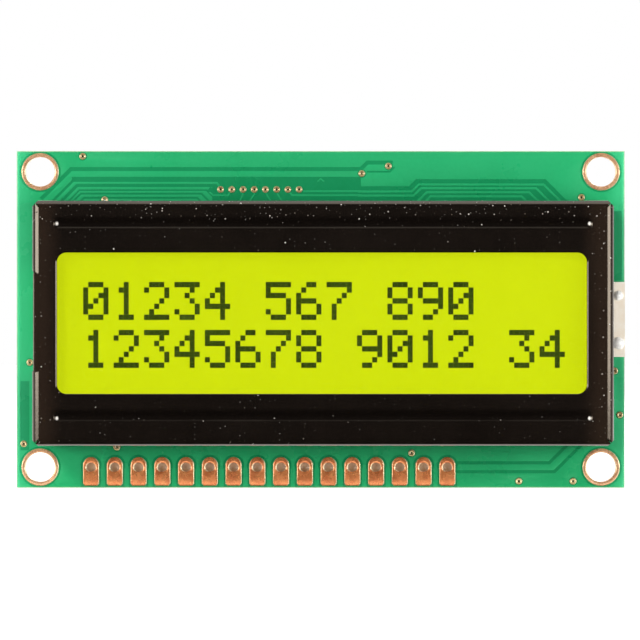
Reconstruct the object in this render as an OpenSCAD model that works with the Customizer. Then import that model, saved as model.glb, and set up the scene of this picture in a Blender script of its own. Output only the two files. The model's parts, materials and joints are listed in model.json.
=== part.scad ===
// Character LCD module: two rows of sixteen characters, array backlight and folded bezel.
// All sizes are millimetres. The module stands upright: the display faces -Y, +X is to the
// right and +Z is up. The origin is the centre of the four mounting holes, on the board's
// back face. Every piece is drawn lying on its back, board face up, and stand() tips it up.

/* [Board] */
// Length of the circuit board, left to right
board_l = 65; // [58:0.5:90]
// Height of the circuit board, bottom to top
board_h = 36; // [31.5:0.5:60]
// Thickness of the circuit board
board_t = 1.6; // [0.8:0.1:2.4]
// Thickness of the bare copper lands on both faces
copper_t = 0.05; // [0.03:0.01:0.1]

/* [Mounting holes] */
// Diameter of the clear hole
mount_d = 3.2; // [2:0.1:3.4]
// Diameter of the bare copper ring round each mounting hole
mount_ring_d = 4; // [3.8:0.1:4.2]
// Hole centre to the board's left or right edge
mount_edge_x = 2.5; // [2.3:0.1:4]
// Hole centre to the board's top or bottom edge
mount_edge_y = 2.2; // [2.2:0.1:3]

/* [Header row] */
// Number of solder pads for the pin header
pin_count = 16; // [6:1:16]
// Distance between neighbouring pads
pin_pitch = 2.54; // [2:0.01:2.6]
// First pad to the board's left edge
pin_edge_x = 7.95; // [6:0.05:9]
// Clear diameter of each pin hole
pin_hole_d = 1; // [0.8:0.05:1.1]
// Width of each pad
pad_w = 1.73; // [1.5:0.01:1.8]
// Centre of the pad's round end, above the pin hole
pad_arch_y = 0.22; // [0:0.01:0.3]
// Board's bottom edge to the pad's straight end
pad_edge_gap = 0.22; // [0.1:0.01:0.5]

/* [Vias] */
// Diameter of a via's copper land
via_d = 0.72; // [0.6:0.01:0.8]
// Clear diameter of a via's hole
via_hole_d = 0.26; // [0.2:0.01:0.3]
// Number of vias in the row above the bezel
via_row_n = 8; // [2:1:10]
// Distance between the vias of that row
via_row_pitch = 1.2; // [1:0.05:1.4]
// First via of that row to the board's left edge
via_row_x = 21.8; // [18:0.1:24]
// That row to the board's top edge
via_row_y = 4.1; // [4:0.1:4.5]

/* [Bezel] */
// Thickness of the folded sheet
sheet_t = 0.45; // [0.3:0.05:0.6]
// Board's front face to the bezel's face
bezel_front = 8; // [7:0.1:10]
// Gap between the bezel's walls and the board's face
foot_gap = 0.1; // [0.1:0.05:0.3]
// Outside radius of the folds
fold_r = 0.7; // [0.65:0.05:1.2]
// Length cut back from each end of a folded wall
corner_relief = 0.6; // [0.5:0.05:0.8]
// Bezel to the board's left edge
bezel_left = 2.05; // [1.8:0.05:4]
// Bezel to the board's right edge
bezel_right = 1.55; // [1.5:0.05:4]
// Bezel to the board's top edge
bezel_top = 5.45; // [5.3:0.05:7]
// Bezel to the board's bottom edge
bezel_bottom = 4.65; // [4.4:0.05:6]
// Length of the unfolded lip in the middle of the left side
lip_h = 10; // [6:0.5:12]

/* [Window] */
// Bezel's left side to the window
window_left = 2.63; // [2.5:0.01:4]
// Bezel's right side to the window
window_right = 2.87; // [2.5:0.01:4]
// Bezel's top side to the window
window_top = 5.5; // [5:0.1:6.5]
// Bezel's bottom side to the window
window_bottom = 5.5; // [5:0.1:6.5]
// Radius of the window's corners
window_r = 1; // [0.5:0.1:2]

/* [Pressed grooves] */
// Width of each groove at the face
groove_w = 1.6; // [1.2:0.1:2]
// Depth of each groove
groove_depth = 0.35; // [0.2:0.05:0.5]
// Bezel's left or right side to the end of a groove
groove_end = 1.8; // [1.5:0.1:4]
// Bezel's top side to the centre of the upper groove
groove_top = 2.47; // [2.2:0.01:2.8]
// Bezel's bottom side to the centre of the lower groove
groove_bottom = 3.08; // [2.2:0.01:3.3]

/* [Bezel tabs] */
// Width of each fixing tab
tab_w = 2.4; // [1.8:0.1:3]
// Length of a tab beyond the board's back face
tab_reach = 1.3; // [0.8:0.1:1.6]
// Angle that a tab is twisted by to lock it
tab_twist = 32; // [0:1:45]
// Bezel's side to the centre of the end tabs in its long walls
long_tab_inset = 13.7; // [9:0.1:16]
// Bezel's top or bottom to the centre of the tabs in its short walls
short_tab_inset = 4.3; // [4:0.1:4.8]
// Room round a tab in its slot
slot_gap = 0.12; // [0.05:0.01:0.2]

/* [Display cell] */
// Thickness of each glass
glass_t = 0.7; // [0.5:0.1:1.1]
// Thickness of the liquid crystal layer, drawn thicker than it is
cell_gap = 0.05; // [0.02:0.01:0.1]
// Thickness of each polarizer
polarizer_t = 0.2; // [0.1:0.05:0.3]
// Gap between the pressed grooves and the front glass
press_gap = 0.03; // [0:0.01:0.1]
// Front glass to the bezel's side walls, inside
glass_side_gap = 0.65; // [0.4:0.05:1]
// Front glass beyond the centre line of each groove
glass_beyond = 1.5; // [1.2:0.1:1.5]
// Front polarizer beyond the window on every side
polarizer_lap = 0.8; // [0.5:0.1:1]
// Width of the seal round the liquid crystal
seal_w = 0.9; // [0.6:0.1:1.2]
// Width of the fill port, closed by the plug
port_w = 3; // [2:0.5:4]
// How far the plug stands out from the edge of the glass
plug_out = 0.35; // [0.2:0.05:0.4]

/* [Elastomer strips] */
// Width of each strip
strip_w = 1.8; // [1.4:0.1:2]
// Strip's end to the glass's end
strip_inset = 1.6; // [1:0.1:3]
// Distance between the copper contacts under a strip
contact_pitch = 1.15; // [1:0.05:1.6]
// Width of each contact
contact_w = 0.65; // [0.4:0.05:0.8]

/* [Backlight] */
// Thickness of the backlight's own board
light_board_t = 0.8; // [0.6:0.1:1]
// Gap between the two boards
light_board_gap = 0.05; // [0.02:0.01:0.1]
// Height of the tab that carries the terminals
light_tab_h = 8; // [7.2:0.1:9]
// Backlight to the elastomer strips
strip_gap = 0.3; // [0.2:0.05:0.6]
// Wall thickness of the reflector frame
reflector_wall = 1.2; // [0.8:0.1:2]
// Thickness of the diffuser
diffuser_t = 0.6; // [0.4:0.1:1]
// Gap between the diffuser and the rear polarizer
diffuser_gap = 0.02; // [0:0.01:0.1]
// Backlight's ends to the glass's ends
light_end = 0.8; // [0.5:0.1:2]
// Number of light dies along the backlight
led_cols = 9; // [4:1:12]
// Number of rows of light dies
led_rows = 2; // [1:1:3]
// Side of each light die
led_side = 0.35; // [0.2:0.05:0.5]

/* [Backlight terminals] */
// Distance between the anode and the cathode
terminal_pitch = 5.08; // [4:0.02:5.6]
// Terminal to the board's right edge
terminal_edge = 0.7; // [0.7:0.05:0.75]
// Diameter of a terminal pin
terminal_d = 0.5; // [0.4:0.05:0.6]
// Gap round a terminal pin in its holes
terminal_gap = 0.03; // [0.02:0.01:0.1]
// Radius of the solder on the anode
anode_solder_r = 0.55; // [0.45:0.05:0.65]
// Radius of the solder on the cathode
cathode_solder_r = 0.7; // [0.5:0.05:0.75]
// Height of the solder above the tab
solder_h = 0.4; // [0.2:0.05:0.5]
// Length of a pin beyond the board's back face
terminal_reach = 0.7; // [0.4:0.1:1]

/* [Chips on the back] */
// Side of each bare chip
die_side = 3.4; // [2:0.1:4]
// Thickness of each bare chip
die_t = 0.4; // [0.2:0.05:0.5]
// Diameter of the resin over the controller chip
controller_cap_d = 12; // [9:0.5:13]
// Diameter of the resin over the driver chip
driver_cap_d = 10.5; // [9:0.5:12]
// Height of the resin at its crown
resin_h = 1.3; // [1:0.1:1.6]
// Place of the controller chip, left of centre
controller_x = 11.5; // [10:0.5:13]
// Place of the driver chip, right of centre
driver_x = 10.5; // [9:0.5:12]

/* [Chip resistors and capacitors] */
// Length of each chip component
chip_l = 2; // [1.6:0.1:2.2]
// Width of each chip component
chip_w = 1.25; // [0.8:0.05:1.3]
// Thickness of each chip resistor
resistor_t = 0.5; // [0.4:0.05:0.6]
// Thickness of each chip capacitor
capacitor_t = 0.8; // [0.6:0.05:1]
// Length of the metal cap on each end
chip_end = 0.35; // [0.2:0.05:0.4]
// Length of the solder fillet beyond each end
chip_fillet = 0.3; // [0.2:0.05:0.4]

/* [Hidden] */
$fn = 48;
tiny = 0.01;

// The display runs up the page, so the board's height is along Y until stand() tips it up.
half_l = board_l / 2;
half_h = board_h / 2;
mount_x = half_l - mount_edge_x;
mount_y = half_h - mount_edge_y;
pin_x0 = -half_l + pin_edge_x;
pin_y = -mount_y;

// The bezel's outline and its middle
bezel_x0 = -half_l + bezel_left;
bezel_x1 = half_l - bezel_right;
bezel_y0 = -half_h + bezel_bottom;
bezel_y1 = half_h - bezel_top;
bezel_w = bezel_x1 - bezel_x0;
bezel_h = bezel_y1 - bezel_y0;
bezel_cx = (bezel_x0 + bezel_x1) / 2;
bezel_cy = (bezel_y0 + bezel_y1) / 2;
face_z = board_t + bezel_front;

// The window's outline
window_x0 = bezel_x0 + window_left;
window_x1 = bezel_x1 - window_right;
window_y0 = bezel_y0 + window_bottom;
window_y1 = bezel_y1 - window_top;

// Each groove is an arc of a circle whose centre lies in front of the face
groove_r = (groove_w * groove_w / 4 + groove_depth * groove_depth) / (2 * groove_depth);
groove_rise = groove_r - groove_depth;
groove_y0 = bezel_y0 + groove_bottom;
groove_y1 = bezel_y1 - groove_top;
groove_cy = (groove_y0 + groove_y1) / 2;

// Heights of the layers, counted from the board's back face
front_glass_z1 = face_z - sheet_t - groove_depth - press_gap;
front_glass_z0 = front_glass_z1 - glass_t;
rear_glass_z1 = front_glass_z0 - cell_gap;
rear_glass_z0 = rear_glass_z1 - glass_t;
rear_polarizer_z0 = rear_glass_z0 - polarizer_t;
diffuser_z1 = rear_polarizer_z0 - diffuser_gap;
diffuser_z0 = diffuser_z1 - diffuser_t;
light_board_z0 = board_t + light_board_gap;
light_board_z1 = light_board_z0 + light_board_t;

// Outlines of the layers
glass_x0 = bezel_x0 + sheet_t + glass_side_gap;
glass_x1 = bezel_x1 - sheet_t - glass_side_gap;
glass_y0 = groove_y0 - glass_beyond;
glass_y1 = groove_y1 + glass_beyond;
light_y0 = groove_y0 + strip_w / 2 + strip_gap;
light_y1 = groove_y1 - strip_w / 2 - strip_gap;
light_x0 = glass_x0 + light_end;
light_x1 = glass_x1 - light_end;

// The contacts and strips share one line of places
strip_x0 = glass_x0 + strip_inset;
strip_x1 = glass_x1 - strip_inset;
strip_l = strip_x1 - strip_x0;
contact_n = floor((strip_l - contact_w) / contact_pitch) + 1;
contact_x0 = (strip_x0 + strip_x1 - (contact_n - 1) * contact_pitch) / 2;

terminal_x = half_l - terminal_edge;
terminal_hole_r = terminal_d / 2 + terminal_gap;
terminal_land_r = 0.55;

// Slots for the bezel's tabs
slot_w = tab_w + 2 * slot_gap;
slot_t = sheet_t + 2 * slot_gap;

// Vias by corner: from the nearer side edge, then from the nearer top or bottom edge
VIAS_TOP_LEFT = [[7.05, 0.55], [9.4, 5.2]];
VIAS_TOP_RIGHT = [[28.1, 2.4], [25.25, 1.6], [4.6, 4.95]];
VIAS_BOTTOM_LEFT = [[1.4, 13.4], [0.75, 4.7], [10.7, 4.35]];
VIAS_BOTTOM_RIGHT = [[11.3, 0.7], [5.5, 0.7], [0.5, 7.8], [1.05, 12.5]];
// The via between the pads of the fourteenth and fifteenth pins, above their hole centres
pad_via_pin = 13.5;
pad_via_rise = 1.52;

// Chip components on the back: place and quarter turns. A row of four resistors and one
// capacitor are placed from the side edges, and the rest from the middle.
chip_row_x = -half_l + 8.5;
chip_row_pitch = 2.5;
chip_row_y = -9;
chip_column_x = driver_x + 10.5;
RESISTORS = concat([for (i = [0 : 3]) [chip_row_x + i * chip_row_pitch, chip_row_y, 1]],
    [[-2, chip_row_y, 0], [2, chip_row_y, 0]], [for (y = [-4, 1, 6]) [chip_column_x, y, 1]]);
CAPACITORS = [[-2, 8, 0], [half_l - 8, chip_row_y, 1], [-half_l + 9.5, 7, 0]];

// Tips a piece that is drawn lying on its back up into the module's frame
module stand() {
    rotate([90, 0, 0]) children();
}

// A flat slab between two corners and two heights
module slab(x0, y0, x1, y1, z0, z1) {
    translate([x0, y0, z0]) cube([x1 - x0, y1 - y0, z1 - z0]);
}

module rounded_rect(x0, y0, x1, y1, r) {
    translate([x0 + r, y0]) square([x1 - x0 - 2 * r, y1 - y0]);
    translate([x0, y0 + r]) square([x1 - x0, y1 - y0 - 2 * r]);
    for (x = [x0 + r, x1 - r], y = [y0 + r, y1 - r])
        translate([x, y]) circle(r);
}

// Places of the repeated features
module at_mounts() {
    for (x = [-mount_x, mount_x], y = [-mount_y, mount_y])
        translate([x, y]) children();
}

module at_pins() {
    for (i = [0 : pin_count - 1])
        translate([pin_x0 + i * pin_pitch, pin_y]) children();
}

module at_vias() {
    for (i = [0 : via_row_n - 1])
        translate([-half_l + via_row_x + i * via_row_pitch, half_h - via_row_y]) children();
    for (p = VIAS_TOP_LEFT)
        translate([-half_l + p[0], half_h - p[1]]) children();
    for (p = VIAS_TOP_RIGHT)
        translate([half_l - p[0], half_h - p[1]]) children();
    for (p = VIAS_BOTTOM_LEFT)
        translate([-half_l + p[0], -half_h + p[1]]) children();
    for (p = VIAS_BOTTOM_RIGHT)
        translate([half_l - p[0], -half_h + p[1]]) children();
    translate([pin_x0 + pad_via_pin * pin_pitch, pin_y + pad_via_rise]) children();
}

module at_terminals() {
    for (side = [-1, 1])
        translate([terminal_x, side * terminal_pitch / 2]) children();
}

// Middle of each tab's thickness, with its width along X for the long walls
module at_tabs() {
    for (x = [bezel_x0 + long_tab_inset, bezel_cx, bezel_x1 - long_tab_inset],
            y = [bezel_y0 + sheet_t / 2, bezel_y1 - sheet_t / 2])
        translate([x, y]) children();
    for (x = [bezel_x0 + sheet_t / 2, bezel_x1 - sheet_t / 2],
            y = [bezel_y0 + short_tab_inset, bezel_y1 - short_tab_inset])
        translate([x, y]) rotate(90) children();
}

// Copper lands on both faces of the board, round a hole. The child is the land's outline.
module lands(hole_r) {
    for (z = [-copper_t, board_t])
        translate([0, 0, z]) linear_extrude(copper_t) difference() {
            children();
            circle(hole_r);
        }
}

module board() {
    color("seagreen") stand() linear_extrude(board_t) difference() {
        square([board_l, board_h], center = true);
        at_mounts() circle(mount_d / 2);
        at_pins() circle(pin_hole_d / 2);
        at_vias() circle(via_hole_d / 2);
        at_terminals() circle(terminal_hole_r);
        at_tabs() square([slot_w, slot_t], center = true);
    }
}

module mounting_hole_rings() {
    color("peru") stand() at_mounts()
        lands(mount_d / 2) circle(mount_ring_d / 2);
}

module pad_outline() {
    translate([0, pad_arch_y]) circle(pad_w / 2);
    translate([-pad_w / 2, -mount_edge_y + pad_edge_gap])
        square([pad_w, mount_edge_y - pad_edge_gap + pad_arch_y]);
}

module header_pads() {
    color("peru") stand() at_pins()
        lands(pin_hole_d / 2) pad_outline();
}

module vias() {
    color("peru") stand() at_vias()
        lands(via_hole_d / 2) circle(via_d / 2);
}

module terminal_lands() {
    color("peru") stand() at_terminals()
        lands(terminal_hole_r) circle(terminal_land_r);
}

// A row of copper contacts that an elastomer strip stands on
module contacts(y) {
    for (i = [0 : contact_n - 1])
        translate([contact_x0 + i * contact_pitch - contact_w / 2, y - strip_w / 2, board_t])
            cube([contact_w, strip_w, copper_t]);
}

module upper_contacts() {
    color("goldenrod") stand() contacts(groove_y1);
}

module lower_contacts() {
    color("goldenrod") stand() contacts(groove_y0);
}

// Section of a wall folded from the face. The wall's outside is at x = 0 and the face at y = 0.
module fold_section() {
    translate([-fold_r, -fold_r]) difference() {
        intersection() {
            circle(fold_r);
            square(fold_r);
        }
        circle(fold_r - sheet_t);
    }
    translate([-sheet_t, foot_gap - bezel_front])
        square([sheet_t, bezel_front - foot_gap - fold_r]);
}

// The wall along the top side, then turned or mirrored to the others
module long_wall() {
    translate([bezel_x0 + corner_relief, 0, face_z]) rotate([90, 0, 90])
        linear_extrude(bezel_w - 2 * corner_relief) fold_section();
}

module short_wall(y0, y1) {
    translate([0, y1, face_z]) rotate([90, 0, 0]) linear_extrude(y1 - y0) fold_section();
}

module walls() {
    wall_y0 = bezel_y0 + corner_relief;
    wall_y1 = bezel_y1 - corner_relief;
    translate([0, bezel_y1]) long_wall();
    translate([0, bezel_y0]) mirror([0, 1, 0]) long_wall();
    translate([bezel_x1, 0]) short_wall(wall_y0, wall_y1);
    translate([bezel_x0, 0]) mirror([1, 0, 0]) {
        short_wall(wall_y0, bezel_cy - lip_h / 2);
        short_wall(bezel_cy + lip_h / 2, wall_y1);
    }
}

// The flat of the face, with the lip that isn't folded
module face() {
    slab(bezel_x0 + fold_r, bezel_y0 + fold_r, bezel_x1 - fold_r, bezel_y1 - fold_r,
        face_z - sheet_t, face_z);
    slab(bezel_x0, bezel_cy - lip_h / 2, bezel_x0 + fold_r, bezel_cy + lip_h / 2,
        face_z - sheet_t, face_z);
}

// A round-ended rod along each groove
module groove_rods(r) {
    end = groove_end + groove_w / 2;
    for (y = [groove_y0, groove_y1]) {
        translate([bezel_x0 + end, y, face_z + groove_rise]) rotate([0, 90, 0])
            cylinder(r = r, h = bezel_w - 2 * end);
        for (x = [bezel_x0 + end, bezel_x1 - end])
            translate([x, y, face_z + groove_rise]) sphere(r);
    }
}

module tabs() {
    foot = board_t + sheet_t;
    at_tabs() {
        translate([-tab_w / 2, -sheet_t / 2, 0]) cube([tab_w, sheet_t, foot]);
        rotate(tab_twist) translate([-tab_w / 2, -sheet_t / 2, -tab_reach])
            cube([tab_w, sheet_t, tab_reach]);
    }
}

module bezel() {
    color("#1c1613") stand() difference() {
        union() {
            face();
            walls();
            tabs();
            intersection() {
                groove_rods(groove_r + sheet_t);
                slab(bezel_x0, bezel_y0, bezel_x1, bezel_y1,
                    face_z - sheet_t - groove_depth - tiny, face_z - sheet_t / 2);
            }
        }
        groove_rods(groove_r);
        translate([0, 0, face_z - 2 * sheet_t]) linear_extrude(3 * sheet_t)
            rounded_rect(window_x0, window_y0, window_x1, window_y1, window_r);
        // slot in the right wall for the backlight's tab
        slab(bezel_x1 - fold_r, -light_tab_h / 2 - slot_gap, bezel_x1 + tiny,
            light_tab_h / 2 + slot_gap, board_t - tiny, light_board_z1 + slot_gap);
    }
}

module front_polarizer() {
    color("darkseagreen") stand() slab(window_x0 - polarizer_lap, window_y0 - polarizer_lap,
        window_x1 + polarizer_lap, window_y1 + polarizer_lap,
        front_glass_z1, front_glass_z1 + polarizer_t);
}

module front_glass() {
    color("lightcyan") stand()
        slab(glass_x0, glass_y0, glass_x1, glass_y1, front_glass_z0, front_glass_z1);
}

module rear_glass() {
    color("lightcyan") stand()
        slab(glass_x0, light_y0, glass_x1, light_y1, rear_glass_z0, rear_glass_z1);
}

// The gap in the seal where the cell was filled
module fill_port(x1) {
    slab(glass_x0 - tiny, groove_cy - port_w / 2, x1, groove_cy + port_w / 2,
        rear_glass_z1 - tiny, front_glass_z0 + tiny);
}

module edge_seal() {
    color("beige") stand() difference() {
        slab(glass_x0, light_y0, glass_x1, light_y1, rear_glass_z1, front_glass_z0);
        slab(glass_x0 + seal_w, light_y0 + seal_w, glass_x1 - seal_w, light_y1 - seal_w,
            rear_glass_z1 - tiny, front_glass_z0 + tiny);
        fill_port(glass_x0 + seal_w + tiny);
    }
}

module liquid_crystal() {
    color("yellowgreen") stand() slab(glass_x0 + seal_w, light_y0 + seal_w, glass_x1 - seal_w,
        light_y1 - seal_w, rear_glass_z1, front_glass_z0);
}

// Cured in the fill port, with a bead on the edges of both glasses
module fill_port_plug() {
    color("khaki") stand() {
        slab(glass_x0, groove_cy - port_w / 2, glass_x0 + seal_w, groove_cy + port_w / 2,
            rear_glass_z1, front_glass_z0);
        slab(glass_x0 - plug_out, groove_cy - port_w / 2, glass_x0, groove_cy + port_w / 2,
            rear_glass_z0 + glass_t / 3, front_glass_z1 - glass_t / 3);
    }
}

module rear_polarizer() {
    color("olivedrab") stand() slab(glass_x0 + seal_w, light_y0 + seal_w, glass_x1 - seal_w,
        light_y1 - seal_w, rear_polarizer_z0, rear_glass_z0);
}

// Stands on the contacts and presses on the front glass's ledge
module elastomer_strip(y) {
    slab(strip_x0, y - strip_w / 2, strip_x1, y + strip_w / 2, board_t + copper_t,
        front_glass_z0);
}

module upper_elastomer_strip() {
    color("dimgray") stand() elastomer_strip(groove_y1);
}

module lower_elastomer_strip() {
    color("dimgray") stand() elastomer_strip(groove_y0);
}

module light_diffuser() {
    color("honeydew") stand()
        slab(light_x0, light_y0, light_x1, light_y1, diffuser_z0, diffuser_z1);
}

module reflector_frame() {
    color("white") stand() difference() {
        slab(light_x0, light_y0, light_x1, light_y1, light_board_z1, diffuser_z0);
        slab(light_x0 + reflector_wall, light_y0 + reflector_wall, light_x1 - reflector_wall,
            light_y1 - reflector_wall, light_board_z1 - tiny, diffuser_z0 + tiny);
    }
}

module backlight_leds() {
    step_x = (light_x1 - light_x0 - 2 * reflector_wall) / led_cols;
    step_y = (light_y1 - light_y0 - 2 * reflector_wall) / led_rows;
    color("gold") stand() for (i = [0 : led_cols - 1], j = [0 : led_rows - 1])
        translate([light_x0 + reflector_wall + (i + 0.5) * step_x - led_side / 2,
                light_y0 + reflector_wall + (j + 0.5) * step_y - led_side / 2, light_board_z1])
            cube([led_side, led_side, led_side]);
}

module backlight_board() {
    color("antiquewhite") stand() translate([0, 0, light_board_z0])
        linear_extrude(light_board_t) difference() {
            union() {
                translate([light_x0, light_y0]) square([light_x1 - light_x0, light_y1 - light_y0]);
                translate([light_x1 - tiny, -light_tab_h / 2])
                    square([half_l - light_x1 + tiny, light_tab_h]);
            }
            at_terminals() circle(terminal_hole_r);
        }
}

// A pin through the backlight's tab and the main board
module terminal_pin(side) {
    translate([terminal_x, side * terminal_pitch / 2, -terminal_reach])
        cylinder(d = terminal_d, h = terminal_reach + light_board_z1 + solder_h / 2);
}

module anode_pin() {
    color("silver") stand() terminal_pin(1);
}

module cathode_pin() {
    color("silver") stand() terminal_pin(-1);
}

// A dome of radius r and height h, standing on z = 0, cut from a larger ball
module dome(r, h) {
    ball_r = (r * r + h * h) / (2 * h);
    intersection() {
        translate([0, 0, h - ball_r]) sphere(ball_r, $fn = 240);
        translate([-r, -r, 0]) cube([2 * r, 2 * r, 2 * h]);
    }
}

// Solder round a pin: a dome on the tab and a smaller one on the board's back
module terminal_solder(side, r) {
    translate([terminal_x, side * terminal_pitch / 2]) difference() {
        union() {
            translate([0, 0, light_board_z1]) dome(r, solder_h);
            translate([0, 0, -copper_t]) mirror([0, 0, 1])
                dome(terminal_land_r, solder_h);
        }
        translate([0, 0, -terminal_reach])
            cylinder(r = terminal_hole_r,
                h = terminal_reach + light_board_z1 + solder_h / 2 + tiny);
    }
}

module anode_solder() {
    color("whitesmoke") stand() terminal_solder(1, anode_solder_r);
}

module cathode_solder() {
    color("whitesmoke") stand() terminal_solder(-1, cathode_solder_r);
}

// A bare chip glued to the board's back
module chip(x) {
    slab(x - die_side / 2, -die_side / 2, x + die_side / 2, die_side / 2, -die_t, 0);
}

// A dome of resin over a chip
module resin(x, d) {
    difference() {
        translate([x, 0, 0]) mirror([0, 0, 1]) dome(d / 2, resin_h);
        chip(x);
    }
}

module controller_chip() {
    color("slategray") stand() chip(-controller_x);
}

module driver_chip() {
    color("slategray") stand() chip(driver_x);
}

module controller_resin() {
    color("#141414") stand() resin(-controller_x, controller_cap_d);
}

module driver_resin() {
    color("#141414") stand() resin(driver_x, driver_cap_d);
}

// Places of the chip components, each drawn along X with its back to the board
module at_chips(list) {
    for (p = list)
        translate([p[0], p[1], 0]) rotate([180, 0, p[2] * 90]) children();
}

module chip_body(t) {
    slab(-chip_l / 2 + chip_end, -chip_w / 2, chip_l / 2 - chip_end, chip_w / 2, 0, t);
}

module chip_ends(t) {
    for (s = [-1, 1])
        translate([s * (chip_l - chip_end) / 2 - chip_end / 2, -chip_w / 2, 0])
            cube([chip_end, chip_w, t]);
}

// The sloping solder at each end of a chip component
module chip_fillets(t) {
    for (s = [0, 1])
        mirror([s, 0, 0]) translate([chip_l / 2, chip_w / 2, 0]) rotate([90, 0, 0])
            linear_extrude(chip_w) polygon([[0, 0], [chip_fillet, 0], [0, 0.7 * t]]);
}

module chip_resistors() {
    color("black") stand() at_chips(RESISTORS) chip_body(resistor_t);
}

module chip_capacitors() {
    color("tan") stand() at_chips(CAPACITORS) chip_body(capacitor_t);
}

module chip_end_caps() {
    color("silver") stand() {
        at_chips(RESISTORS) chip_ends(resistor_t);
        at_chips(CAPACITORS) chip_ends(capacitor_t);
    }
}

module chip_solder() {
    color("whitesmoke") stand() {
        at_chips(RESISTORS) chip_fillets(resistor_t);
        at_chips(CAPACITORS) chip_fillets(capacitor_t);
    }
}

board();
mounting_hole_rings();
header_pads();
vias();
terminal_lands();
upper_contacts();
lower_contacts();
bezel();
front_polarizer();
front_glass();
edge_seal();
liquid_crystal();
fill_port_plug();
rear_glass();
rear_polarizer();
upper_elastomer_strip();
lower_elastomer_strip();
light_diffuser();
reflector_frame();
backlight_leds();
backlight_board();
anode_pin();
cathode_pin();
anode_solder();
cathode_solder();
controller_chip();
driver_chip();
controller_resin();
driver_resin();
chip_resistors();
chip_capacitors();
chip_end_caps();
chip_solder();
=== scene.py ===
"""Looks of a character LCD module: two rows of sixteen characters in a folded black bezel.

Sizes are millimetres until place() turns them into metres. x runs to the right, z up, and h out
from the board's back face towards the viewer, so the display faces -Y.
"""
import json
import math

import bmesh
import bpy
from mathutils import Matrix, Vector, noise
from mathutils.geometry import delaunay_2d_cdt


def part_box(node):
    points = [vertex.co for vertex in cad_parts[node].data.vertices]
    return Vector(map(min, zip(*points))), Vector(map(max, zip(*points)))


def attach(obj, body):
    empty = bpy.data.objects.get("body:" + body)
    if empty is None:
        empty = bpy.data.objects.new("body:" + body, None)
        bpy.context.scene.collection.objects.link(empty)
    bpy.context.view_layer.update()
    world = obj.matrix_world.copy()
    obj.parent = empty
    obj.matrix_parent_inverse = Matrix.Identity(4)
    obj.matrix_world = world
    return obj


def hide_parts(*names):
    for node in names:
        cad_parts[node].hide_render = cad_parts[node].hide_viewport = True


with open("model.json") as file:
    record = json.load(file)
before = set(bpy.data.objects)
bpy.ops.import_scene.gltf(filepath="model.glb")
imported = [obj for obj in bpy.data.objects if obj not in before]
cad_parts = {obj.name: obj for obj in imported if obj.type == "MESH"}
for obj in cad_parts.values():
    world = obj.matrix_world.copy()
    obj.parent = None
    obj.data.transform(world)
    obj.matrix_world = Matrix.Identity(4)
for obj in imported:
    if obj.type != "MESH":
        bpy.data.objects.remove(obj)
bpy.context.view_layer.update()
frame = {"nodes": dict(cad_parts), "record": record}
MM = 0.001
root = "root"


# ---------------------------------------------------------------- sizes

class Box:
    """The box of a fixed part, and its middle."""

    def __init__(self, node):
        low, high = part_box(node)
        self.x0, self.x1 = low.x / MM, high.x / MM
        self.z0, self.z1 = low.z / MM, high.z / MM
        self.h0, self.h1 = -high.y / MM, -low.y / MM
        self.x, self.z = (self.x0 + self.x1) / 2, (self.z0 + self.z1) / 2


board = Box("board")
film = Box("front_polarizer")
cell = Box("liquid_crystal")
light = Box("backlight_board")
mounts = {m["name"]: m for m in frame["record"]["mounts"]}
hole_dims = mounts["mounting_holes"]["dims"]
mount_x = hole_dims["spacing_x_mm"] / 2
mount_z = hole_dims["spacing_y_mm"] / 2
mount_r = hole_dims["hole_r_mm"]
pin_first = mounts["header_pin_1"]["pos_m"][0] / MM
pin_last = mounts["header_pin_16"]["pos_m"][0] / MM
pin_z = mounts["header_pin_1"]["pos_m"][2] / MM
pin_r = mounts["header_pin_1"]["dims"]["r_mm"]
pin_count = 16
pin_pitch = (pin_last - pin_first) / (pin_count - 1)
PINS = [(pin_first + i * pin_pitch, pin_z) for i in range(pin_count)]
HOLES = [(sx * mount_x, sz * mount_z) for sx in (-1, 1) for sz in (-1, 1)]

# Bezel: its margins on the board, its sheet and its face
sheet_t = 0.45
face_h = -mounts["bezel_face"]["pos_m"][1] / MM
fold_r = 0.85
bezel_x0 = board.x0 + 2.05
bezel_x1 = board.x1 - 1.55
bezel_z0 = board.z0 + 4.65
bezel_z1 = board.z1 - 5.45
foot_h = board.h1 + 0.1
lip_z0, lip_z1, lip_edge, lip_fade = -5.4, 4.6, 0.24, 0.8
window_x0 = bezel_x0 + 2.63
window_x1 = bezel_x1 - 2.87
window_z0 = bezel_z0 + 5.5
window_z1 = bezel_z1 - 5.5
window_r = 1.0

groove_w, groove_depth = 0.78, 0.33
groove_end = 2.72
groove_zs = (bezel_z1 - 2.47, bezel_z0 + 3.08)
groove_x0, groove_x1 = bezel_x0 + groove_end, bezel_x1 - groove_end

# Fixing tabs of the bezel, and the tab of the backlight's board that leaves it on the right
tab_w, tab_reach, tab_twist = 2.4, 1.3, 32
tab_inset_x, tab_inset_z = 13.7, 4.3
light_tab_z0, light_tab_z1, light_tab_gap = -4.0, 4.0, 0.12

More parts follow.
